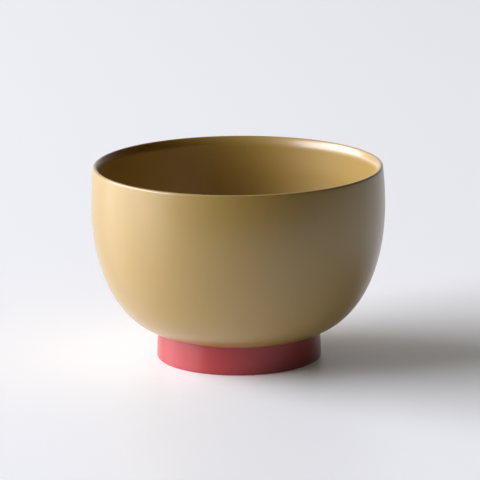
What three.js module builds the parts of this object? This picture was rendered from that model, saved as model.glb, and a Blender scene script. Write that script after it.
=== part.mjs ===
// An open soup bowl of turned wood, lacquered ochre, on a coral red foot ring.
// Millimetres, +Z up. The origin is the centre of the circle that the foot stands on.
import * as THREE from "three";

// Body, measured on the finished lacquer
const HEIGHT = 76.6; // table to the crest of the lip
const RIM_DIAMETER = 113.3; // outside of the lip
const BELLY_SWELL = 0.85; // how far the widest part stands out beyond the lip, on each side
const BELLY_DROP = 15.7; // crest of the lip down to the widest part
const BELLY_PULL = 22.2; // how long the curve under the widest part holds upright
const SHOULDER_PULL = 18.6; // how long the curve above the foot holds its slope
const SHOULDER_SLOPE = THREE.MathUtils.degToRad(17); // rise of the body where it leaves the foot
const WALL = 3.6; // body wall, lacquer included
const LIP_THICKNESS = 1.6; // full round at the top of the wall
const FLARE_HEIGHT = 4.2; // crest of the lip down to the throat, where the flare inside it ends
const FLOOR_DISH = 2.2; // how far the middle of the well lies below the end of the wall's curve

// Foot, measured on the finished lacquer
const FOOT_HEIGHT = 11.05; // table to the crease under the body
const FOOT_TOP_DIAMETER = 63.9; // outside of the foot at the crease
const FOOT_FLARE = 0.45; // how far the foot spreads towards the table, on each side
const FOOT_WALL = 4.9; // foot at the crease, outside to recess
const FOOT_EDGE_ROUND = 0.9; // round of both lower edges
const SPIGOT_LENGTH = 5.15; // how far the round under the body reaches down into the foot ring
const RECESS_COVE = 1.2; // round in the corner of the recess

// Layers
const COAT = 0.4; // lacquer with the ground under it
const GLUE_FILM = 0.15; // clearance between the ring and the body, filled with glue

// Fineness of the facets
const TURN_STEPS = 48;
const CURVE_STEPS = 9;
const ARC_STEPS = 3;
const LIP_STEPS = 5;

const OCHRE = { color: 0xb89b57, roughness: 0.3, metalness: 0 };
const CORAL = { color: 0xc9444b, roughness: 0.32, metalness: 0 };
const TURNED_WOOD = { color: 0xb48a5c, roughness: 0.7, metalness: 0 };
const DRIED_GLUE = { color: 0x4a3320, roughness: 0.5, metalness: 0 };

// Heights and radii that the pieces share
const lipRound = LIP_THICKNESS / 2;
const lipRadius = RIM_DIAMETER / 2 - lipRound;
const lipHeight = HEIGHT - lipRound;
const bellyRadius = RIM_DIAMETER / 2 + BELLY_SWELL;
const bellyHeight = HEIGHT - BELLY_DROP;
const throatRadius = bellyRadius - WALL;
const throatHeight = HEIGHT - FLARE_HEIGHT;
const footTopRadius = FOOT_TOP_DIAMETER / 2;
const footLean = Math.atan2(FOOT_FLARE, FOOT_HEIGHT);
const recessRadius = footTopRadius - FOOT_WALL;
const boreRadius = recessRadius + COAT;
const spigotRadius = boreRadius - GLUE_FILM;
const spigotHeight = FOOT_HEIGHT - SPIGOT_LENGTH;
const recessDepth = spigotHeight - COAT; // table to the ceiling of the recess
const ringTop = FOOT_HEIGHT - GLUE_FILM;
const seatRadius = footTopRadius - COAT / Math.sin(SHOULDER_SLOPE);

const at = (radius, height) => new THREE.Vector2(radius, height);

// A station is a point of an outline, with the direction that leads straight out of the material.
function station(point, out) {
  return { point, out };
}

// The point a given depth below the surface at a station
function below({ point, out }, depth) {
  return point.clone().addScaledVector(out, -depth);
}

// Stations along a curve that is walked with the material on its left
function curveStations(curve, steps) {
  return Array.from({ length: steps + 1 }, (_, i) => {
    const along = curve.getTangent(i / steps);
    return station(curve.getPoint(i / steps), at(along.y, -along.x));
  });
}

// Stations on a round whose material is inside the circle
function roundStations(centre, radius, from, to, steps) {
  return Array.from({ length: steps + 1 }, (_, i) => {
    const angle = THREE.MathUtils.lerp(from, to, i / steps);
    const out = at(Math.cos(angle), Math.sin(angle));
    return station(centre.clone().addScaledVector(out, radius), out);
  });
}

// Radius of a circle that stands upright at the start and touches a smaller circle from outside it.
// reach and rise lead from the start to the smaller circle's centre.
function touchingRadius(reach, rise, smaller) {
  return (reach ** 2 + rise ** 2 - smaller ** 2) / (2 * (reach - smaller));
}

// Radius of the foot's finished side at a height
function footSide(height) {
  return footTopRadius + (FOOT_HEIGHT - height) * Math.tan(footLean);
}

// Radius of the wood and the glue under the coat of the foot's side
function ringSide(height) {
  return footSide(height) - COAT / Math.cos(footLean);
}

// Outside of the body: from the crease at the foot, up the belly, over the lip and down to the throat
function outerStations() {
  const crease = at(footTopRadius, FOOT_HEIGHT);
  const belly = at(bellyRadius, bellyHeight);
  const leave = at(Math.cos(SHOULDER_SLOPE), Math.sin(SHOULDER_SLOPE)).multiplyScalar(SHOULDER_PULL);
  const lower = new THREE.CubicBezierCurve(crease, leave.add(crease), at(belly.x, belly.y - BELLY_PULL), belly);

  const lip = at(lipRadius, lipHeight);
  const upperRadius = touchingRadius(bellyRadius - lipRadius, lipHeight - bellyHeight, lipRound);
  const upper = at(bellyRadius - upperRadius, bellyHeight);
  const lipStart = lip.clone().sub(upper).angle();

  const flareRadius = touchingRadius(lipRadius - throatRadius, lipHeight - throatHeight, lipRound);
  const flare = at(throatRadius + flareRadius, throatHeight);
  const lipEnd = lip.clone().sub(flare).angle();

  return [
    ...curveStations(lower, CURVE_STEPS),
    ...roundStations(upper, upperRadius, 0, lipStart, ARC_STEPS).slice(1),
    ...roundStations(lip, lipRound, lipStart, lipEnd, LIP_STEPS).slice(1),
    ...roundStations(flare, flareRadius, lipEnd, Math.PI, ARC_STEPS).slice(1),
  ];
}

// Well of the body: from the throat, one wall inside the belly's curve, to the middle of the floor
function innerStations(outer) {
  const throat = station(at(throatRadius, throatHeight), at(-1, 0));
  const lower = outer.slice(0, CURVE_STEPS + 1).reverse();
  const wall = lower.map((s) => station(below(s, WALL), s.out.clone().negate()));

  const end = wall.at(-1).point;
  const floor = end.y - FLOOR_DISH;
  const turn = at(end.x - FLOOR_DISH / Math.tan(SHOULDER_SLOPE), floor);
  const dish = new THREE.QuadraticBezierCurve(end, turn, at(0, floor));
  return [throat, ...wall, ...curveStations(dish, ARC_STEPS).slice(1)];
}

// Foot: from the inner lower edge, under the bearing face and up the outside to the crease
function footStations() {
  const inner = at(recessRadius + FOOT_EDGE_ROUND, FOOT_EDGE_ROUND);
  const outerRadius = footSide(FOOT_EDGE_ROUND) - FOOT_EDGE_ROUND / Math.cos(footLean);
  const outer = at(outerRadius, FOOT_EDGE_ROUND);
  const down = 1.5 * Math.PI;
  const side = 2 * Math.PI + footLean;
  return [
    ...roundStations(inner, FOOT_EDGE_ROUND, Math.PI, down, ARC_STEPS),
    ...roundStations(outer, FOOT_EDGE_ROUND, down, side, ARC_STEPS),
  ];
}

const outerFace = outerStations();
const innerFace = innerStations(outerFace);
const footFace = footStations();

const finished = (stations) => stations.map((s) => s.point);
const wooden = (stations) => stations.map((s) => below(s, COAT));

// A piece turned about the axis from an outline that is walked with the material on its left
function turned(name, outline, finish) {
  const geometry = new THREE.LatheGeometry(outline, TURN_STEPS);
  geometry.rotateX(Math.PI / 2);
  const mesh = new THREE.Mesh(geometry, new THREE.MeshStandardMaterial(finish));
  mesh.name = name;
  return mesh;
}

// A piece whose outline is a loop clear of the axis
function turnedRing(name, outline, finish) {
  return turned(name, [...outline, outline[0]], finish);
}

// Turned wood bowl with the spigot that the foot ring slips over
function bowlCore() {
  const outline = [
    at(0, spigotHeight),
    at(spigotRadius, spigotHeight),
    at(spigotRadius, FOOT_HEIGHT),
    at(seatRadius, FOOT_HEIGHT),
    ...wooden(outerFace),
    ...wooden(innerFace).slice(1),
  ];
  return turned("bowl_core", outline, TURNED_WOOD);
}

// Turned wood ring that carries the bowl
function footRing() {
  const outline = [...wooden(footFace), at(ringSide(ringTop), ringTop), at(boreRadius, ringTop)];
  return turnedRing("foot_ring", outline, TURNED_WOOD);
}

// Glue round the spigot and between the ring and the seat above it
function footGlue() {
  const outline = [
    at(spigotRadius, spigotHeight),
    at(boreRadius, spigotHeight),
    at(boreRadius, ringTop),
    at(ringSide(ringTop), ringTop),
    at(ringSide(FOOT_HEIGHT), FOOT_HEIGHT),
    at(spigotRadius, FOOT_HEIGHT),
  ];
  return turnedRing("foot_glue", outline, DRIED_GLUE);
}

// Coat of the outside, the lip and the flare inside it; it ends on the seat plane at the crease
function outerLacquer() {
  const back = wooden(outerFace).reverse();
  const outline = [...finished(outerFace), ...back, at(seatRadius, FOOT_HEIGHT)];
  return turnedRing("outer_lacquer", outline, OCHRE);
}

// Coat of the well, from the throat to the middle of the floor
function innerLacquer() {
  const front = finished(innerFace);
  const outline = [...wooden(innerFace).reverse(), ...front];
  return turned("inner_lacquer", outline, OCHRE);
}

// Coat of the foot's outside and its bearing face
function footLacquer() {
  const front = [...finished(footFace), at(footTopRadius, FOOT_HEIGHT)];
  const back = [at(ringSide(FOOT_HEIGHT), FOOT_HEIGHT), ...wooden(footFace).reverse()];
  return turnedRing("foot_lacquer", [...front, ...back], CORAL);
}

// Coat of the recess: ceiling, cove and the inside of the foot
function undersideLacquer() {
  const cove = at(recessRadius - RECESS_COVE, recessDepth - RECESS_COVE);
  const coveFace = roundStations(cove, RECESS_COVE, Math.PI / 2, 0, ARC_STEPS);
  const outline = [
    at(0, recessDepth),
    ...finished(coveFace),
    at(recessRadius, FOOT_EDGE_ROUND),
    at(boreRadius, FOOT_EDGE_ROUND),
    at(boreRadius, spigotHeight),
    at(0, spigotHeight),
  ];
  return turned("underside_lacquer", outline, CORAL);
}

const bowl = new THREE.Group();
bowl.name = "soup_bowl";

const body = new THREE.Group();
body.add(bowlCore(), outerLacquer(), innerLacquer());

const foot = new THREE.Group();
foot.add(footRing(), footGlue(), footLacquer(), undersideLacquer());

bowl.add(body, foot);

export default bowl;
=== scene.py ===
"""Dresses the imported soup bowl: fine turned meshes, lacquer, wood and glue, a studio and a camera.

Metres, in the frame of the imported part: +Z up, the origin under the middle of the foot.
"""

import logging
import math
from collections.abc import Mapping, Sequence
from dataclasses import dataclass
from enum import Enum
from typing import Any

import bpy
from mathutils import Matrix, Vector


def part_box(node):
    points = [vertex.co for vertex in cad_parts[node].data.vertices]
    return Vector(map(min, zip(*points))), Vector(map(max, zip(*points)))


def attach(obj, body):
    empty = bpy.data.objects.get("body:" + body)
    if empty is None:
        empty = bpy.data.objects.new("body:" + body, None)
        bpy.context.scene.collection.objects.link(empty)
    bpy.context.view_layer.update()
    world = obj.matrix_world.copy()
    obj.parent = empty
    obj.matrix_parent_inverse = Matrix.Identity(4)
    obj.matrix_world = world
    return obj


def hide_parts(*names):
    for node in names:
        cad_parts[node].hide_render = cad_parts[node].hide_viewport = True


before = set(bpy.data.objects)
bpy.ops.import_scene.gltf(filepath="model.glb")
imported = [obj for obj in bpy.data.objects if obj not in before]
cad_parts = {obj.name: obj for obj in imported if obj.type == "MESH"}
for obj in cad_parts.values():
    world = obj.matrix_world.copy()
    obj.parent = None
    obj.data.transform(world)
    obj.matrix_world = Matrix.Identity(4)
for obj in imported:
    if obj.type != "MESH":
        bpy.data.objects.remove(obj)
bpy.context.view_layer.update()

MM = 0.001
BODY = "root"
BAKE_MAP = "OFBake"
LOG = logging.getLogger("soup_bowl")

# The sRGB curve: straight up to the knee, and a power above it
SRGB_FULL = 255
SRGB_KNEE = 0.04045
SRGB_STRAIGHT = 12.92
SRGB_LIFT = 0.055
SRGB_POWER = 2.4
# Places of the two colours and of the result on a Mix node
MIX_FROM = 6
MIX_TO = 7
MIXED = 2
# Scale of a pattern whose points are already counted in its own lengths
OWN_SCALE = 1.0
# Factors that keep only the part of a vector along the table, or across the log
LEVEL = (1.0, 1.0, 0.0)
ACROSS_LOG = (0.0, 1.0, 1.0)

Point = Vector
Outline = list[Point]
Colour = tuple[float, float, float, float]


def linear(hex_colour: str) -> Colour:
    """Turns an sRGB hex colour into linear values with full alpha.

    Args:
        hex_colour: Six hex digits with a leading hash, such as "#b89b57".

    Returns:
        Red, green, blue and alpha, each from 0 to 1.
    """
    shares = [level / SRGB_FULL for level in bytes.fromhex(hex_colour.removeprefix("#"))]
    red, green, blue = (
        share / SRGB_STRAIGHT
        if share <= SRGB_KNEE
        else ((share + SRGB_LIFT) / (1 + SRGB_LIFT)) ** SRGB_POWER
        for share in shares
    )
    return red, green, blue, 1.0


def add_node(
    tree: bpy.types.NodeTree,
    kind: str,
    sockets: Mapping[str | int, Any] | None = None,
    **settings: Any,
) -> bpy.types.Node:
    """Adds one node with its settings, its socket values and its links.

    Args:
        tree: The node tree that gets the node.
        kind: Blender's name for the node's type.
        sockets: For each input, by name or number, a value or the output that feeds it.
        **settings: The node's own properties.

    Returns:
        The new node.
    """
    node = tree.nodes.new(kind)
    for name, value in settings.items():
        setattr(node, name, value)
    for key, value in (sockets or {}).items():
        if isinstance(value, bpy.types.NodeSocket):
            tree.links.new(value, node.inputs[key])
        else:
            node.inputs[key].default_value = value
    return node


def ray_kinds(tree: bpy.types.NodeTree) -> tuple[bpy.types.NodeSocket, bpy.types.NodeSocket]:
    """Tells the rays that the camera sends from those that gloss or glass sends on.

    Args:
        tree: The node tree that asks.

    Returns:
        An output that is 1 for a camera ray, and one that is 1 for a ray sent on; both are 0 otherwise.
    """
    path = add_node(tree, "ShaderNodeLightPath").outputs
    sent_on = add_node(
        tree,
        "ShaderNodeMath",
        {0: path["Is Glossy Ray"], 1: path["Is Transmission Ray"]},
        operation="MAXIMUM",
    )
    return path["Is Camera Ray"], sent_on.outputs["Value"]


class Slot(Enum):
    """Material slots of the record."""

    OCHRE = "ochre_lacquer"
    CORAL = "coral_lacquer"
    WOOD = "turned_wood"
    GLUE = "dried_glue"


@dataclass(frozen=True)
class Station:
    """A point of an outline, with the direction that leads straight out of the material."""

    point: Point
    out: Vector

    def below(self, depth: float) -> Point:
        """Gives the point at a depth under the surface."""
        return self.point - self.out * depth


def at(radius: float, height: float) -> Point:
    """Gives a point of an outline from its distance to the axis and its height."""
    return Vector((radius, height))


def round_stations(centre: Point, radius: float, start: float, end: float, steps: int) -> list[Station]:
    """Walks a round whose material lies inside its circle.

    Args:
        centre: Centre of the circle.
        radius: Radius of the circle.
        start: Angle of the first station, in radians.
        end: Angle of the last station, in radians.
        steps: Number of steps between them.

    Returns:
        The stations in order.
    """
    stations = []
    for step in range(steps + 1):
        angle = start + (end - start) * step / steps
        out = at(math.cos(angle), math.sin(angle))
        stations.append(Station(centre + out * radius, out))
    return stations


def bezier_stations(handles: Sequence[Point], steps: int) -> list[Station]:
    """Walks a Bezier curve with the material on its left.

    Args:
        handles: Control points of the curve, three or four of them.
        steps: Number of steps along it.

    Returns:
        The stations in order.
    """
    degree = len(handles) - 1
    stations = []
    for step in range(steps + 1):
        t = step / steps
        shares = [math.comb(degree, k) * (1 - t) ** (degree - k) * t**k for k in range(degree + 1)]
        point = sum((h * s for h, s in zip(handles, shares)), at(0.0, 0.0))
        legs = [after - before for before, after in zip(handles, handles[1:])]
        pulls = [math.comb(degree - 1, k) * (1 - t) ** (degree - 1 - k) * t**k for k in range(degree)]
        along = sum((leg * p for leg, p in zip(legs, pulls)), at(0.0, 0.0)).normalized()
        stations.append(Station(point, at(along.y, -along.x)))
    return stations


def touching_radius(reach: float, rise: float, smaller: float) -> float:
    """Gives the radius of a circle that starts upright and touches a smaller circle from outside it.

    Args:
        reach: Level distance from the start to the smaller circle's centre.
        rise: Height of the smaller circle's centre above the start.
        smaller: Radius of the smaller circle.

    Returns:
        The larger circle's radius.
    """
    return (reach**2 + rise**2 - smaller**2) / (2 * (reach - smaller))


def surface(stations: Sequence[Station]) -> Outline:
    """Gives the finished surface along some stations."""
    return [s.point for s in stations]


@dataclass(frozen=True)
class BowlForm:
    """Sizes of the finished bowl, in metres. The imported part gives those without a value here."""

    height: float
    belly_radius: float
    foot_height: float
    throat_height: float
    bore_radius: float
    spigot_height: float
    ring_top: float
    edge_round: float
    coat: float = 0.4 * MM
    wall: float = 3.6 * MM
    lip_round: float = 0.8 * MM
    belly_swell: float = 0.85 * MM
    belly_drop: float = 15.7 * MM
    belly_pull: float = 22.2 * MM
    shoulder_pull: float = 18.6 * MM
    shoulder_slope: float = math.radians(17.0)
    floor_dish: float = 2.2 * MM
    foot_top_radius: float = 31.95 * MM
    foot_flare: float = 0.45 * MM
    recess_cove: float = 1.2 * MM
    curve_steps: int = 40
    upper_steps: int = 10
    lip_steps: int = 20
    flare_steps: int = 16
    dish_steps: int = 12
    edge_steps: int = 8

    @classmethod
    def from_frame(cls) -> "BowlForm":
        """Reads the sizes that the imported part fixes.

        Returns:
            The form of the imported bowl.
        """
        outer_low, outer_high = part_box("outer_lacquer")
        recess_low, recess_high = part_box("underside_lacquer")
        return cls(
            height=outer_high.z,
            belly_radius=outer_high.x,
            foot_height=outer_low.z,
            throat_height=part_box("inner_lacquer")[1].z,
            bore_radius=recess_high.x,
            spigot_height=recess_high.z,
            ring_top=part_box("foot_ring")[1].z,
            edge_round=recess_low.z,
        )

    @property
    def recess_radius(self) -> float:
        """Radius of the finished recess."""
        return self.bore_radius - self.coat

    @property
    def recess_depth(self) -> float:
        """Height of the recess ceiling over the table."""
        return self.spigot_height - self.coat

    @property
    def spigot_radius(self) -> float:
        """Radius of the spigot, one glue film inside the ring's bore."""
        return self.bore_radius - (self.foot_height - self.ring_top)

    @property
    def seat_radius(self) -> float:
        """Radius where the wood of the body meets the seat of the foot."""
        return self.foot_top_radius - self.coat / math.sin(self.shoulder_slope)

    @property
    def foot_lean(self) -> float:
        """Angle by which the foot's side leans in from the table up."""
        return math.atan2(self.foot_flare, self.foot_height)

    def foot_side(self, height: float) -> float:
        """Gives the radius of the foot's finished side at a height."""
        return self.foot_top_radius + (self.foot_height - height) * math.tan(self.foot_lean)

    def ring_side(self, height: float) -> float:
        """Gives the radius of the wood and glue under the foot's coat at a height."""
        return self.foot_side(height) - self.coat / math.cos(self.foot_lean)

    def outer_face(self) -> list[Station]:
        """Walks from the crease up the belly, over the lip and down to the throat.

        Returns:
            The stations of the body's outside.
        """
        crease = at(self.foot_top_radius, self.foot_height)
        belly = at(self.belly_radius, self.height - self.belly_drop)
        leave = at(math.cos(self.shoulder_slope), math.sin(self.shoulder_slope)) * self.shoulder_pull
        handles = [crease, crease + leave, belly - at(0.0, self.belly_pull), belly]

        lip = at(self.belly_radius - self.belly_swell - self.lip_round, self.height - self.lip_round)
        upper_radius = touching_radius(belly.x - lip.x, lip.y - belly.y, self.lip_round)
        upper = belly - at(upper_radius, 0.0)
        lip_start = math.atan2(lip.y - upper.y, lip.x - upper.x)

        throat = at(self.belly_radius - self.wall, self.throat_height)
        flare_radius = touching_radius(lip.x - throat.x, lip.y - throat.y, self.lip_round)
        flare = throat + at(flare_radius, 0.0)
        lip_end = math.atan2(lip.y - flare.y, lip.x - flare.x)

        return [
            *bezier_stations(handles, self.curve_steps),
            *round_stations(upper, upper_radius, 0.0, lip_start, self.upper_steps)[1:],
            *round_stations(lip, self.lip_round, lip_start, lip_end, self.lip_steps)[1:],
            *round_stations(flare, flare_radius, lip_end, math.pi, self.flare_steps)[1:],
        ]

    def inner_face(self) -> list[Station]:
        """Walks from the throat, one wall inside the belly's curve, to the middle of the floor.

        Returns:
            The stations of the well.
        """
        outer = self.outer_face()
        throat = outer[-1]
        belly_curve = reversed(outer[: self.curve_steps + 1])
        wall = [Station(s.below(self.wall), -s.out) for s in belly_curve]
        end = wall[-1].point
        floor = end.y - self.floor_dish
        turn = at(end.x - self.floor_dish / math.tan(self.shoulder_slope), floor)
        dish = bezier_stations([end, turn, at(0.0, floor)], self.dish_steps)
        return [throat, *wall, *dish[1:]]

    def foot_face(self) -> list[Station]:
        """Walks from the inner lower edge, under the bearing face, to the top of the outer lower edge.

        Returns:
            The stations of both edges, with the bearing face between them.
        """
        inner = at(self.recess_radius + self.edge_round, self.edge_round)
        outer_radius = self.foot_side(self.edge_round) - self.edge_round / math.cos(self.foot_lean)
        outer = at(outer_radius, self.edge_round)
        down = -math.pi / 2
        return [
            *round_stations(inner, self.edge_round, -math.pi, down, self.edge_steps),
            *round_stations(outer, self.edge_round, down, self.foot_lean, self.edge_steps),
        ]

    def cove_face(self) -> Outline:
        """Walks the round in the corner of the recess, from its ceiling to its side."""
        centre = at(self.recess_radius - self.recess_cove, self.recess_depth - self.recess_cove)
        return surface(round_stations(centre, self.recess_cove, math.pi / 2, 0.0, self.edge_steps))

    def wooden(self, stations: Sequence[Station]) -> Outline:
        """Gives the wood under the coat along some stations."""
        return [s.below(self.coat) for s in stations]


@dataclass(frozen=True)
class Finish:
    """A surface finish. Each kind of material fills its own node tree."""

    name: str

    def material(self) -> bpy.types.Material:
        """Makes the material with its nodes, once for each finish.

        Returns:
            The material, the same one for every piece.
        """
        made = bpy.data.materials.get(self.name)
        if made:
            return made
        made = bpy.data.materials.new(self.name)
        made.use_nodes = True
        tree = made.node_tree
        tree.nodes.clear()
        shader = add_node(tree, "ShaderNodeBsdfPrincipled")
        self.dress(tree, shader)
        add_node(tree, "ShaderNodeOutputMaterial", {"Surface": self.cover(tree, shader)})
        return made

    def cover(self, tree: bpy.types.NodeTree, shader: bpy.types.Node) -> bpy.types.NodeSocket:
        """Gives what covers the surface: the shader itself, unless a finish adds to it.

        Args:
            tree: The material's node tree.
            shader: Its surface shader.

        Returns:
            The output that feeds the surface.
        """
        return shader.outputs["BSDF"]

    def dress(self, tree: bpy.types.NodeTree, shader: bpy.types.Node) -> None:
        """Sets the shader's values and adds the nodes that feed it.

        Args:
            tree: The material's node tree.
            shader: Its surface shader.
        """
        raise NotImplementedError


@dataclass(frozen=True)
class BrushedLacquer(Finish):
    """Pigmented lacquer brushed on a turning bowl, with a clear coat over it that is rubbed to a satin.

    It gives the eye a deep even colour, a soft gloss in the pigment and a broad pale veil over it on the
    side that faces the light. Close up there are faint brush marks round the axis, a slight mottle, and a
    deeper tone where the coat is drawn thin over an edge.
    """

    pigment: str
    pigment_light: str
    thin_tone: str
    thin_from: float
    thin_to: float
    thin_share: float
    roughness: float
    clear_roughness: float
    clear_weight: float = 1.0
    clear_ior: float = 1.62
    roughness_swing: float = 0.02
    ior: float = 1.48
    mottle_size: float = 16.0 * MM
    # Real brush marks are about 0.15 mm wide. They are drawn wider, because finer ones would not show.
    brush_width: float = 0.7 * MM
    brush_length: float = 60.0 * MM
    brush_share: float = 0.35
    peel_size: float = 2.4 * MM
    peel_detail: float = 1.0
    relief: float = 0.0006 * MM
    detail: float = 3.0

    def dress(self, tree: bpy.types.NodeTree, shader: bpy.types.Node) -> None:
        """Feeds the colour, the gloss and the relief from patterns of real sizes.

        Args:
            tree: The material's node tree.
            shader: Its surface shader.
        """
        place = add_node(tree, "ShaderNodeTexCoord").outputs["Object"]
        split = add_node(tree, "ShaderNodeSeparateXYZ", {"Vector": place})
        brush = self.brush_marks(tree, place, split)
        mottle = add_node(
            tree,
            "ShaderNodeTexNoise",
            {"Vector": place, "Scale": 1 / self.mottle_size, "Detail": self.detail},
        ).outputs["Fac"]
        peel = add_node(
            tree,
            "ShaderNodeTexNoise",
            {"Vector": place, "Scale": 1 / self.peel_size, "Detail": self.peel_detail},
        ).outputs["Fac"]
        cloud = add_node(
            tree, "ShaderNodeMix", {"Factor": self.brush_share, "A": mottle, "B": brush}
        ).outputs["Result"]
        colour = self.colour(tree, cloud, brush, split.outputs["Z"])
        gloss = add_node(
            tree,
            "ShaderNodeMapRange",
            {
                "Value": cloud,
                "To Min": self.roughness - self.roughness_swing,
                "To Max": self.roughness + self.roughness_swing,
            },
        ).outputs["Result"]
        ripple = add_node(
            tree, "ShaderNodeMix", {"Factor": self.brush_share, "A": peel, "B": brush}
        ).outputs["Result"]
        bump = add_node(
            tree, "ShaderNodeBump", {"Distance": self.relief, "Height": ripple}
        ).outputs["Normal"]

        shader.inputs["IOR"].default_value = self.ior
        shader.inputs["Coat Weight"].default_value = self.clear_weight
        shader.inputs["Coat Roughness"].default_value = self.clear_roughness
        shader.inputs["Coat IOR"].default_value = self.clear_ior
        tree.links.new(colour, shader.inputs["Base Color"])
        tree.links.new(gloss, shader.inputs["Roughness"])
        tree.links.new(bump, shader.inputs["Normal"])

    def brush_marks(
        self, tree: bpy.types.NodeTree, place: bpy.types.NodeSocket, split: bpy.types.Node
    ) -> bpy.types.NodeSocket:
        """Draws brush marks that are long round the axis and fine along the outline.

        Args:
            tree: The material's node tree.
            place: The point on the object.
            split: The same point as three numbers.

        Returns:
            The depth of the marks, from 0 to 1.
        """
        level = add_node(tree, "ShaderNodeVectorMath", {0: place, 1: LEVEL}, operation="MULTIPLY")
        radius = add_node(
            tree, "ShaderNodeVectorMath", {0: level.outputs["Vector"]}, operation="LENGTH"
        ).outputs["Value"]
        along = add_node(tree, "ShaderNodeMath", {0: radius, 1: split.outputs["Z"]}, operation="ADD")
        lanes = add_node(
            tree,
            "ShaderNodeCombineXYZ",
            {"X": split.outputs["X"], "Y": split.outputs["Y"], "Z": along.outputs["Value"]},
        )
        per_mark = (1 / self.brush_length, 1 / self.brush_length, 1 / self.brush_width)
        drawn = add_node(
            tree, "ShaderNodeVectorMath", {0: lanes.outputs["Vector"], 1: per_mark}, operation="MULTIPLY"
        )
        return add_node(
            tree,
            "ShaderNodeTexNoise",
            {"Vector": drawn.outputs["Vector"], "Scale": OWN_SCALE, "Detail": self.detail},
        ).outputs["Fac"]

    def colour(
        self,
        tree: bpy.types.NodeTree,
        cloud: bpy.types.NodeSocket,
        brush: bpy.types.NodeSocket,
        height: bpy.types.NodeSocket,
    ) -> bpy.types.NodeSocket:
        """Mottles the pigment and deepens it where the coat is thin.

        Args:
            tree: The material's node tree.
            cloud: The mottle of the coat.
            brush: The brush marks.
            height: Height over the table.

        Returns:
            The colour of the coat.
        """
        body = add_node(
            tree,
            "ShaderNodeMix",
            {"Factor": cloud, MIX_FROM: linear(self.pigment), MIX_TO: linear(self.pigment_light)},
            data_type="RGBA",
        ).outputs[MIXED]
        edge = add_node(
            tree,
            "ShaderNodeMapRange",
            {
                "Value": height,
                "From Min": self.thin_from,
                "From Max": self.thin_to,
                "To Max": self.thin_share,
            },
            interpolation_type="SMOOTHSTEP",
        ).outputs["Result"]
        worn = add_node(tree, "ShaderNodeMath", {0: edge, 1: brush}, operation="MULTIPLY").outputs["Value"]
        return add_node(
            tree,
            "ShaderNodeMix",
            {"Factor": worn, MIX_FROM: body, MIX_TO: linear(self.thin_tone)},
            data_type="RGBA",
        ).outputs[MIXED]


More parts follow.
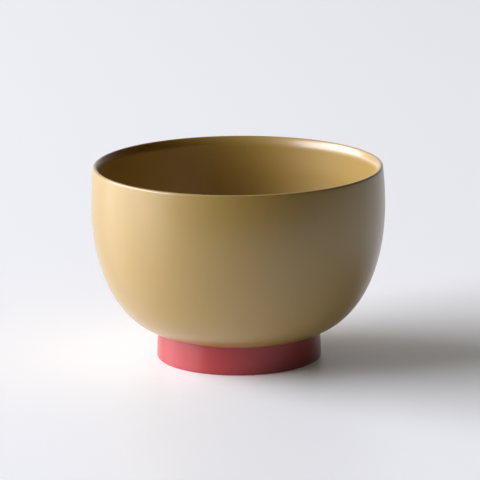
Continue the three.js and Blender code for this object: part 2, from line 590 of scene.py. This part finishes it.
@dataclass(frozen=True)
class TurnedTimber(Finish):
    """Seasoned broadleaf timber, turned across the grain and sanded.

    It gives the eye growth rings as wavy light and dark bands, short dark pores along the grain, and a
    dull open surface.
    """

    name: str = "horse_chestnut_turned_and_sanded"
    early_wood: str = "#c79f6d"
    late_wood: str = "#9a6f42"
    pore_tone: str = "#6d4a29"
    roughness: float = 0.68
    ior: float = 1.53
    ring_width: float = 3.2 * MM
    sway_length: float = 29.0 * MM
    sway_reach: float = 9.6 * MM
    # Real pores are about 0.05 mm wide. They are drawn wider, because finer ones would not show.
    pore_width: float = 0.25 * MM
    pore_length: float = 4.0 * MM
    pore_from: float = 0.6
    pore_to: float = 0.72
    pore_share: float = 0.7
    pith_depth: float = 90.0 * MM
    relief: float = 0.04 * MM

    def dress(self, tree: bpy.types.NodeTree, shader: bpy.types.Node) -> None:
        """Feeds the colour and the relief from the rings and the pores.

        Args:
            tree: The material's node tree.
            shader: Its surface shader.
        """
        place = add_node(tree, "ShaderNodeTexCoord").outputs["Object"]
        ring = self.rings(tree, place)
        per_pore = (1 / self.pore_length, 1 / self.pore_width, 1 / self.pore_width)
        grain = add_node(tree, "ShaderNodeVectorMath", {0: place, 1: per_pore}, operation="MULTIPLY")
        pores = add_node(
            tree, "ShaderNodeTexNoise", {"Vector": grain.outputs["Vector"], "Scale": OWN_SCALE}
        )
        pore = add_node(
            tree,
            "ShaderNodeMapRange",
            {
                "Value": pores.outputs["Fac"],
                "From Min": self.pore_from,
                "From Max": self.pore_to,
                "To Max": self.pore_share,
            },
        ).outputs["Result"]
        wood = add_node(
            tree,
            "ShaderNodeMix",
            {"Factor": ring, MIX_FROM: linear(self.early_wood), MIX_TO: linear(self.late_wood)},
            data_type="RGBA",
        ).outputs[MIXED]
        colour = add_node(
            tree,
            "ShaderNodeMix",
            {"Factor": pore, MIX_FROM: wood, MIX_TO: linear(self.pore_tone)},
            data_type="RGBA",
        ).outputs[MIXED]
        bump = add_node(
            tree, "ShaderNodeBump", {"Distance": -self.relief, "Height": pore}
        ).outputs["Normal"]

        shader.inputs["Roughness"].default_value = self.roughness
        shader.inputs["IOR"].default_value = self.ior
        tree.links.new(colour, shader.inputs["Base Color"])
        tree.links.new(bump, shader.inputs["Normal"])

    def rings(self, tree: bpy.types.NodeTree, place: bpy.types.NodeSocket) -> bpy.types.NodeSocket:
        """Draws growth rings round a pith that ran along X, below the blank.

        Args:
            tree: The material's node tree.
            place: The point on the object.

        Returns:
            The age of the wood within its year, from 0 to 1.
        """
        depth = (0.0, 0.0, self.pith_depth)
        log = add_node(
            tree, "ShaderNodeVectorMath", {0: place, 1: depth}, operation="ADD"
        ).outputs["Vector"]
        sway = add_node(tree, "ShaderNodeTexNoise", {"Vector": log, "Scale": 1 / self.sway_length})
        reach = (self.sway_reach, self.sway_reach, self.sway_reach)
        moved = add_node(
            tree,
            "ShaderNodeVectorMath",
            {0: sway.outputs["Color"], 1: reach, 2: log},
            operation="MULTIPLY_ADD",
        )
        across = add_node(
            tree, "ShaderNodeVectorMath", {0: moved.outputs["Vector"], 1: ACROSS_LOG}, operation="MULTIPLY"
        )
        growth = add_node(tree, "ShaderNodeVectorMath", {0: across.outputs["Vector"]}, operation="LENGTH")
        years = add_node(
            tree, "ShaderNodeMath", {0: growth.outputs["Value"], 1: self.ring_width}, operation="DIVIDE"
        )
        ring = add_node(tree, "ShaderNodeMath", {0: years.outputs["Value"]}, operation="FRACT")
        return ring.outputs["Value"]


@dataclass(frozen=True)
class LacquerGlue(Finish):
    """Raw lacquer kneaded with flour and wood dust, squeezed out between two turned faces and dried.

    It gives the eye a dark brown film with fine specks of dust and a few small voids.
    """

    name: str = "lacquer_glue_dried"
    binder: str = "#3c2616"
    dust: str = "#6b4a2c"
    roughness: float = 0.5
    ior: float = 1.5
    # Real specks are about 0.2 mm across. They are drawn larger, because finer ones would not show.
    speck_size: float = 0.5 * MM
    speck_from: float = 0.5
    speck_to: float = 0.7
    relief: float = 0.02 * MM

    def dress(self, tree: bpy.types.NodeTree, shader: bpy.types.Node) -> None:
        """Feeds the colour and the relief from the specks.

        Args:
            tree: The material's node tree.
            shader: Its surface shader.
        """
        place = add_node(tree, "ShaderNodeTexCoord").outputs["Object"]
        specks = add_node(
            tree, "ShaderNodeTexNoise", {"Vector": place, "Scale": 1 / self.speck_size}
        ).outputs["Fac"]
        share = add_node(
            tree,
            "ShaderNodeMapRange",
            {"Value": specks, "From Min": self.speck_from, "From Max": self.speck_to},
        ).outputs["Result"]
        colour = add_node(
            tree,
            "ShaderNodeMix",
            {"Factor": share, MIX_FROM: linear(self.binder), MIX_TO: linear(self.dust)},
            data_type="RGBA",
        ).outputs[MIXED]
        bump = add_node(
            tree, "ShaderNodeBump", {"Distance": self.relief, "Height": specks}
        ).outputs["Normal"]

        shader.inputs["Roughness"].default_value = self.roughness
        shader.inputs["IOR"].default_value = self.ior
        tree.links.new(colour, shader.inputs["Base Color"])
        tree.links.new(bump, shader.inputs["Normal"])


@dataclass(frozen=True)
class CoatedPaper(Finish):
    """Coated paper, pressed smooth between rollers and laid out as the ground.

    It gives the eye a pale even ground with a faint fibre, and a dull sheen at a low angle. Its faint glow
    lifts the ground and the shadow to the eye and in gloss, and lights nothing. From below it is clear.
    """

    name: str = "coated_paper_pressed_smooth"
    tone: str = "#f6f6f3"
    fibre_tone: str = "#f4f4f1"
    roughness: float = 0.42
    ior: float = 1.5
    glow: float = 0.045
    fibre_size: float = 1.2 * MM

    def dress(self, tree: bpy.types.NodeTree, shader: bpy.types.Node) -> None:
        """Feeds the colour from the fibre, and the glow from the kind of ray.

        Args:
            tree: The material's node tree.
            shader: Its surface shader.
        """
        place = add_node(tree, "ShaderNodeTexCoord").outputs["Object"]
        fibre = add_node(
            tree, "ShaderNodeTexNoise", {"Vector": place, "Scale": 1 / self.fibre_size}
        ).outputs["Fac"]
        colour = add_node(
            tree,
            "ShaderNodeMix",
            {"Factor": fibre, MIX_FROM: linear(self.tone), MIX_TO: linear(self.fibre_tone)},
            data_type="RGBA",
        ).outputs[MIXED]
        direct, mirrored = ray_kinds(tree)
        seen = add_node(
            tree, "ShaderNodeMath", {0: direct, 1: mirrored}, operation="MAXIMUM"
        ).outputs["Value"]
        glow = add_node(
            tree, "ShaderNodeMath", {0: seen, 1: self.glow}, operation="MULTIPLY"
        ).outputs["Value"]
        shader.inputs["Roughness"].default_value = self.roughness
        shader.inputs["IOR"].default_value = self.ior
        tree.links.new(colour, shader.inputs["Base Color"])
        tree.links.new(colour, shader.inputs["Emission Color"])
        tree.links.new(glow, shader.inputs["Emission Strength"])

    def cover(self, tree: bpy.types.NodeTree, shader: bpy.types.Node) -> bpy.types.NodeSocket:
        """Covers the upper side only.

        Args:
            tree: The material's node tree.
            shader: Its surface shader.

        Returns:
            The output that feeds the surface.
        """
        below = add_node(tree, "ShaderNodeNewGeometry").outputs["Backfacing"]
        clear = add_node(tree, "ShaderNodeBsdfTransparent").outputs["BSDF"]
        mixed = add_node(tree, "ShaderNodeMixShader", {"Fac": below, 1: shader.outputs["BSDF"], 2: clear})
        return mixed.outputs["Shader"]


def ochre_lacquer(form: BowlForm) -> BrushedLacquer:
    """Gives the lacquer of the body.

    It gives the eye a warm sandy yellow, dulled by a full clear coat that is rubbed until it mirrors only
    light and shade. The coat is drawn thin over the crest of the lip.

    Args:
        form: Sizes of the bowl.

    Returns:
        The finish.
    """
    return BrushedLacquer(
        "ochre_lacquer_brushed_and_rubbed",
        pigment="#a68538",
        pigment_light="#aa893c",
        thin_tone="#93732c",
        thin_from=form.height - form.lip_round,
        thin_to=form.height,
        thin_share=0.4,
        roughness=0.26,
        clear_roughness=0.5,
    )


def coral_lacquer(form: BowlForm) -> BrushedLacquer:
    """Gives the lacquer of the foot.

    It gives the eye a strong red that turns to coral where the light falls on it, under a lighter and less
    rubbed clear coat than the body's. The coat is drawn thin over the edges that stand on the table.

    Args:
        form: Sizes of the bowl.

    Returns:
        The finish.
    """
    return BrushedLacquer(
        "coral_lacquer_brushed_and_rubbed",
        pigment="#a31a1d",
        pigment_light="#a71e21",
        thin_tone="#851315",
        thin_from=form.edge_round,
        thin_to=0.0,
        thin_share=0.5,
        roughness=0.26,
        clear_roughness=0.4,
        clear_weight=0.45,
    )


@dataclass
class TurnedPiece:
    """A solid turned about the axis from an outline that is walked with the material on its left."""

    name: str
    node: str
    outline: Outline
    finish: Finish
    slot: Slot
    turn_steps: int = 192
    sharp_angle: float = math.radians(30.0)

    @property
    def loops(self) -> bool:
        """Tells whether the outline closes on itself, clear of the axis."""
        return self.outline[0].x > 0

    def build(self) -> bpy.types.Object:
        """Makes the piece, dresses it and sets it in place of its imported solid.

        Returns:
            The new object.
        """
        mesh = self.turned_mesh()
        mesh.materials.append(self.finish.material())
        piece = bpy.data.objects.new(self.name, mesh)
        bpy.context.scene.collection.objects.link(piece)
        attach(piece, BODY)
        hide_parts(self.node)
        return piece

    def turned_mesh(self) -> bpy.types.Mesh:
        """Turns the outline into a closed mesh with a map for baking.

        Returns:
            The mesh, smooth but for its edges.
        """
        corners: list[tuple[float, float, float]] = []
        rings: list[list[int]] = []
        for point in self.outline:
            count = self.turn_steps if point.x > 0 else 1
            rings.append(list(range(len(corners), len(corners) + count)))
            for step in range(count):
                angle = math.tau * step / self.turn_steps
                corners.append((point.x * math.cos(angle), point.x * math.sin(angle), point.y))

        lines = self.outline + self.outline[:1] if self.loops else self.outline
        lengths = [(after - before).length for before, after in zip(lines, lines[1:])]
        reach = [sum(lengths[:k]) / sum(lengths) for k in range(len(lines))]
        faces: list[list[int]] = []
        places: list[tuple[float, float]] = []
        for band in range(len(lines) - 1):
            low, high = rings[band], rings[(band + 1) % len(rings)]
            for step in range(self.turn_steps):
                turn, after = step / self.turn_steps, (step + 1) / self.turn_steps
                mapped = [
                    (low[step % len(low)], (turn, reach[band])),
                    (low[(step + 1) % len(low)], (after, reach[band])),
                    (high[(step + 1) % len(high)], (after, reach[band + 1])),
                    (high[step % len(high)], (turn, reach[band + 1])),
                ]
                # A band that starts or ends on the axis is made of triangles.
                if len(low) == 1:
                    del mapped[1]
                if len(high) == 1:
                    del mapped[-1]
                faces.append([corner for corner, _ in mapped])
                places.extend(place for _, place in mapped)

        mesh = bpy.data.meshes.new(self.name)
        mesh.from_pydata(corners, [], faces)
        baked = mesh.uv_layers.new(name=BAKE_MAP)
        baked.data.foreach_set("uv", [value for place in places for value in place])
        mesh.shade_smooth()
        mesh.set_sharp_from_angle(angle=self.sharp_angle)
        mesh.validate()
        return mesh


@dataclass
class BowlBody:
    """The turned wood bowl with the coats of its outside and its well."""

    form: BowlForm
    lacquer: BrushedLacquer
    timber: TurnedTimber = TurnedTimber()

    def build(self) -> list[bpy.types.Object]:
        """Makes the core and both coats.

        Returns:
            The pieces in order.
        """
        return [self.build_core(), self.build_outer_coat(), self.build_inner_coat()]

    def build_core(self) -> bpy.types.Object:
        """Makes the wood with the spigot under its floor.

        Returns:
            The dressed piece.
        """
        form = self.form
        outline = [
            at(0.0, form.spigot_height),
            at(form.spigot_radius, form.spigot_height),
            at(form.spigot_radius, form.foot_height),
            at(form.seat_radius, form.foot_height),
            *form.wooden(form.outer_face()),
            *form.wooden(form.inner_face())[1:],
        ]
        return TurnedPiece("wood_bowl", "bowl_core", outline, self.timber, Slot.WOOD).build()

    def build_outer_coat(self) -> bpy.types.Object:
        """Makes the coat that runs from the crease over the lip to the throat.

        Returns:
            The dressed piece.
        """
        form = self.form
        face = form.outer_face()
        back = form.wooden(face)[::-1]
        outline = [*surface(face), *back, at(form.seat_radius, form.foot_height)]
        return TurnedPiece("outside_coat", "outer_lacquer", outline, self.lacquer, Slot.OCHRE).build()

    def build_inner_coat(self) -> bpy.types.Object:
        """Makes the coat of the well.

        Returns:
            The dressed piece.
        """
        face = self.form.inner_face()
        outline = [*self.form.wooden(face)[::-1], *surface(face)]
        return TurnedPiece("well_coat", "inner_lacquer", outline, self.lacquer, Slot.OCHRE).build()


@dataclass
class BowlFoot:
    """The turned foot ring with its glue and the coats of its outside and the recess."""

    form: BowlForm
    lacquer: BrushedLacquer
    timber: TurnedTimber = TurnedTimber()
    glue: LacquerGlue = LacquerGlue()

    def build(self) -> list[bpy.types.Object]:
        """Makes the ring, the glue and both coats.

        Returns:
            The pieces in order.
        """
        return [self.build_ring(), self.build_glue(), self.build_foot_coat(), self.build_recess_coat()]

    def build_ring(self) -> bpy.types.Object:
        """Makes the wood ring that carries the bowl.

        Returns:
            The dressed piece.
        """
        form = self.form
        top = [at(form.ring_side(form.ring_top), form.ring_top), at(form.bore_radius, form.ring_top)]
        outline = [*form.wooden(form.foot_face()), *top]
        return TurnedPiece("wood_foot_ring", "foot_ring", outline, self.timber, Slot.WOOD).build()

    def build_glue(self) -> bpy.types.Object:
        """Makes the film round the spigot and on top of the ring.

        Returns:
            The dressed piece.
        """
        form = self.form
        outline = [
            at(form.spigot_radius, form.spigot_height),
            at(form.bore_radius, form.spigot_height),
            at(form.bore_radius, form.ring_top),
            at(form.ring_side(form.ring_top), form.ring_top),
            at(form.ring_side(form.foot_height), form.foot_height),
            at(form.spigot_radius, form.foot_height),
        ]
        return TurnedPiece("glue_film", "foot_glue", outline, self.glue, Slot.GLUE).build()

    def build_foot_coat(self) -> bpy.types.Object:
        """Makes the coat of the foot's outside and its bearing face.

        Returns:
            The dressed piece.
        """
        form = self.form
        face = form.foot_face()
        top = [
            at(form.foot_top_radius, form.foot_height),
            at(form.ring_side(form.foot_height), form.foot_height),
        ]
        outline = [*surface(face), *top, *form.wooden(face)[::-1]]
        return TurnedPiece("foot_coat", "foot_lacquer", outline, self.lacquer, Slot.CORAL).build()

    def build_recess_coat(self) -> bpy.types.Object:
        """Makes the coat of the recess under the bowl.

        Returns:
            The dressed piece.
        """
        form = self.form
        outline = [
            at(0.0, form.recess_depth),
            *form.cove_face(),
            at(form.recess_radius, form.edge_round),
            at(form.bore_radius, form.edge_round),
            at(form.bore_radius, form.spigot_height),
            at(0.0, form.spigot_height),
        ]
        return TurnedPiece("recess_coat", "underside_lacquer", outline, self.lacquer, Slot.CORAL).build()


@dataclass(frozen=True)
class Studio:
    """A paper ground with a wide window on the left, in a dim room that glows a little there and behind.

    Lengths are in metres. The room's slope is how much its light grows towards +X, +Y and +Z.
    """

    paper: CoatedPaper = CoatedPaper()
    paper_edge: float = -0.36
    paper_reach: float = 6.0
    window_away: float = 3.445
    window_along: float = 0.05
    window_width: float = 4.6
    window_sill: float = 0.5
    window_height: float = 2.82
    window_glow: float = 10.8
    window_tone: str = "#edf0ff"
    room_level: float = 0.2
    room_slope: tuple[float, float, float] = (-0.33, 0.4, -0.2)
    room_tone: str = "#fff3df"
    backdrop_tone: str = "#e3e3e9"
    # A ray meets the backdrop in gloss where it heads less than 30 degrees off straight back.
    backdrop_from: float = math.cos(math.radians(30.0))

    def build(self) -> None:
        """Makes the ground, the window and the room."""
        self.build_ground()
        self.build_window()
        self.build_room()

    def build_ground(self) -> None:
        """Lays the paper under the foot, and a second sheet that carries the ground on in front."""
        self.lay_paper("paper_ground", self.paper_edge, self.paper_reach)
        front = self.lay_paper("paper_front", -self.paper_reach, self.paper_edge)
        # The photograph's bowl mirrors a dark front, so this sheet gives it neither light nor gloss.
        front.visible_diffuse = False
        front.visible_glossy = False

    def lay_paper(self, name: str, front: float, back: float) -> bpy.types.Object:
        """Lays a sheet of paper across the ground.

        Args:
            name: Name of the sheet.
            front: Its near edge along Y.
            back: Its far edge along Y.

        Returns:
            The sheet.
        """
        reach = self.paper_reach
        corners = [(-reach, front, 0.0), (reach, front, 0.0), (reach, back, 0.0), (-reach, back, 0.0)]
        mesh = bpy.data.meshes.new(name)
        mesh.from_pydata(corners, [], [range(len(corners))])
        mesh.materials.append(self.paper.material())
        sheet = bpy.data.objects.new(name, mesh)
        bpy.context.scene.collection.objects.link(sheet)
        return sheet

    def build_window(self) -> None:
        """Stands the light upright on the left, facing the bowl."""
        lamp = bpy.data.lights.new("soft_window", "AREA")
        lamp.shape = "RECTANGLE"
        lamp.size = self.window_height
        lamp.size_y = self.window_width
        # A flat lamp that shows the glow G all over gives pi times G watts from each square metre.
        lamp.energy = self.window_glow * math.pi * self.window_height * self.window_width
        lamp.color = linear(self.window_tone)[:3]
        window = bpy.data.objects.new("soft_window", lamp)
        middle = self.window_sill + self.window_height / 2
        window.location = (-self.window_away, self.window_along, middle)
        window.rotation_euler = (0.0, -math.pi / 2, 0.0)
        window.visible_camera = False
        bpy.context.scene.collection.objects.link(window)

    def build_room(self) -> None:
        """Fills the shade with the dim light of the room. The camera itself sees a pale backdrop there."""
        world = bpy.data.worlds.new("dim_room")
        world.use_nodes = True
        tree = world.node_tree
        tree.nodes.clear()
        outward = add_node(tree, "ShaderNodeTexCoord").outputs["Generated"]
        slope = add_node(
            tree, "ShaderNodeVectorMath", {0: outward, 1: self.room_slope}, operation="DOT_PRODUCT"
        )
        level = add_node(
            tree, "ShaderNodeMath", {0: slope.outputs["Value"], 1: self.room_level}, operation="ADD"
        )
        strength = add_node(
            tree, "ShaderNodeMath", {0: level.outputs["Value"], 1: 0.0}, operation="MAXIMUM"
        )
        room = add_node(
            tree,
            "ShaderNodeBackground",
            {"Color": linear(self.room_tone), "Strength": strength.outputs["Value"]},
        )
        backdrop = add_node(tree, "ShaderNodeBackground", {"Color": linear(self.backdrop_tone)})
        seen = add_node(
            tree,
            "ShaderNodeMixShader",
            {
                "Fac": self.backdrop_share(tree, outward),
                1: room.outputs["Background"],
                2: backdrop.outputs["Background"],
            },
        )
        add_node(tree, "ShaderNodeOutputWorld", {"Surface": seen.outputs["Shader"]})
        bpy.context.scene.world = world

    def backdrop_share(
        self, tree: bpy.types.NodeTree, outward: bpy.types.NodeSocket
    ) -> bpy.types.NodeSocket:
        """Shows the backdrop to the camera all round, and in gloss where it stands behind the bowl.

        Args:
            tree: The world's node tree.
            outward: The direction that a ray leaves in.

        Returns:
            The share of the backdrop, from 0 to 1.
        """
        direct, mirrored = ray_kinds(tree)
        way = add_node(tree, "ShaderNodeSeparateXYZ", {"Vector": outward}).outputs
        behind = add_node(
            tree, "ShaderNodeMath", {0: way["Y"], 1: self.backdrop_from}, operation="GREATER_THAN"
        ).outputs["Value"]
        gloss = add_node(
            tree, "ShaderNodeMath", {0: mirrored, 1: behind}, operation="MULTIPLY"
        ).outputs["Value"]
        share = add_node(tree, "ShaderNodeMath", {0: direct, 1: gloss}, operation="MAXIMUM")
        return share.outputs["Value"]


@dataclass(frozen=True)
class PhotoCamera:
    """A long lens at the photograph's place, found from the ellipses of the rim, crease and foot."""

    target_height: float = 38.0 * MM
    distance: float = 1512.8 * MM
    elevation: float = math.radians(13.46)
    aim_right: float = math.radians(0.024)
    aim_up: float = math.radians(0.308)
    roll: float = math.radians(-0.383)
    focal_pixels: float = 3855.8
    image_pixels: float = 480.0
    # Millimetres, the unit of Blender's lenses
    sensor: float = 36.0

    def build(self) -> None:
        """Makes the camera and hands it to the scene."""
        target = Vector((0.0, 0.0, self.target_height))
        away = Vector((0.0, -math.cos(self.elevation), math.sin(self.elevation)))
        right = Vector((1.0, 0.0, 0.0))
        ahead = -away + right * math.tan(self.aim_right) + right.cross(-away) * math.tan(self.aim_up)
        ahead.normalize()
        level = ahead.cross(Vector((0.0, 0.0, 1.0))).normalized()
        upright = level.cross(ahead)
        across = level * math.cos(self.roll) + upright * math.sin(self.roll)
        up = upright * math.cos(self.roll) - level * math.sin(self.roll)

        lens = bpy.data.cameras.new("long_lens")
        lens.sensor_width = self.sensor
        lens.lens = self.focal_pixels * self.sensor / self.image_pixels
        camera = bpy.data.objects.new("long_lens", lens)
        turned = Matrix((across, up, -ahead)).transposed().to_4x4()
        camera.matrix_world = Matrix.Translation(target + away * self.distance) @ turned
        bpy.context.scene.collection.objects.link(camera)
        bpy.context.scene.camera = camera


def main() -> None:
    """Builds the bowl, the studio and the camera."""
    logging.basicConfig(level=logging.INFO, format="%(name)s: %(message)s")
    form = BowlForm.from_frame()
    for assembly in (BowlBody(form, ochre_lacquer(form)), BowlFoot(form, coral_lacquer(form))):
        for piece in assembly.build():
            LOG.info("%s: %d faces", piece.name, len(piece.data.polygons))
    Studio().build()
    PhotoCamera().build()
    bpy.context.scene.view_settings.view_transform = "Standard"


if __name__ == "__main__":
    main()
